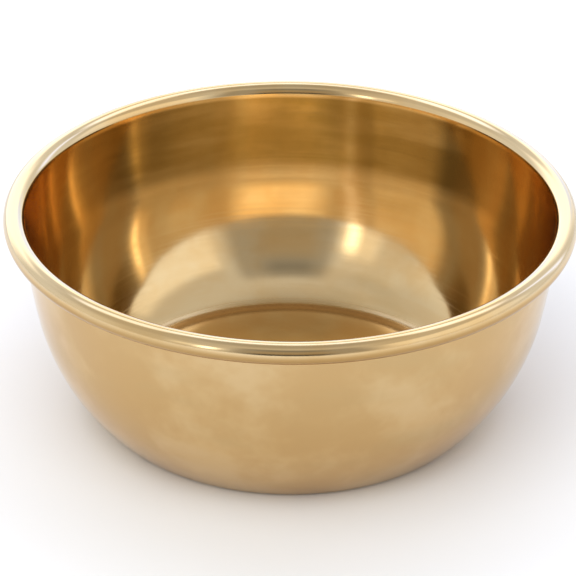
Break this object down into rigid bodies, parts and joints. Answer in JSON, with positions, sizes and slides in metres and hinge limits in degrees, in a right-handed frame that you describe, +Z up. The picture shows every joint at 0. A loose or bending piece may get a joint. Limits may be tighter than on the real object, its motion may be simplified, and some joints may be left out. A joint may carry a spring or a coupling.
{
  "type": "shaving bowl",
  "caption": "Round spun brass bowl with a flat base and a rolled bead rim, for working up shaving lather.",
  "frame": {"origin": "centre of the flat base's underside", "axes": "+Z up along the bowl's axis; the bowl is round, so X and Y are free, and the butted ends of the rim wire are at +Y"},
  "size_m": [0.12, 0.12, 0.0467],
  "materials": {
    "polished_brass": "polished, with fine spinning lines",
    "wire_brass": "dull drawn wire"
  },
  "bodies": {
    "root": {"bowl_shell": "polished_brass", "rim_wire": "wire_brass"}
  },
  "joints": []
}
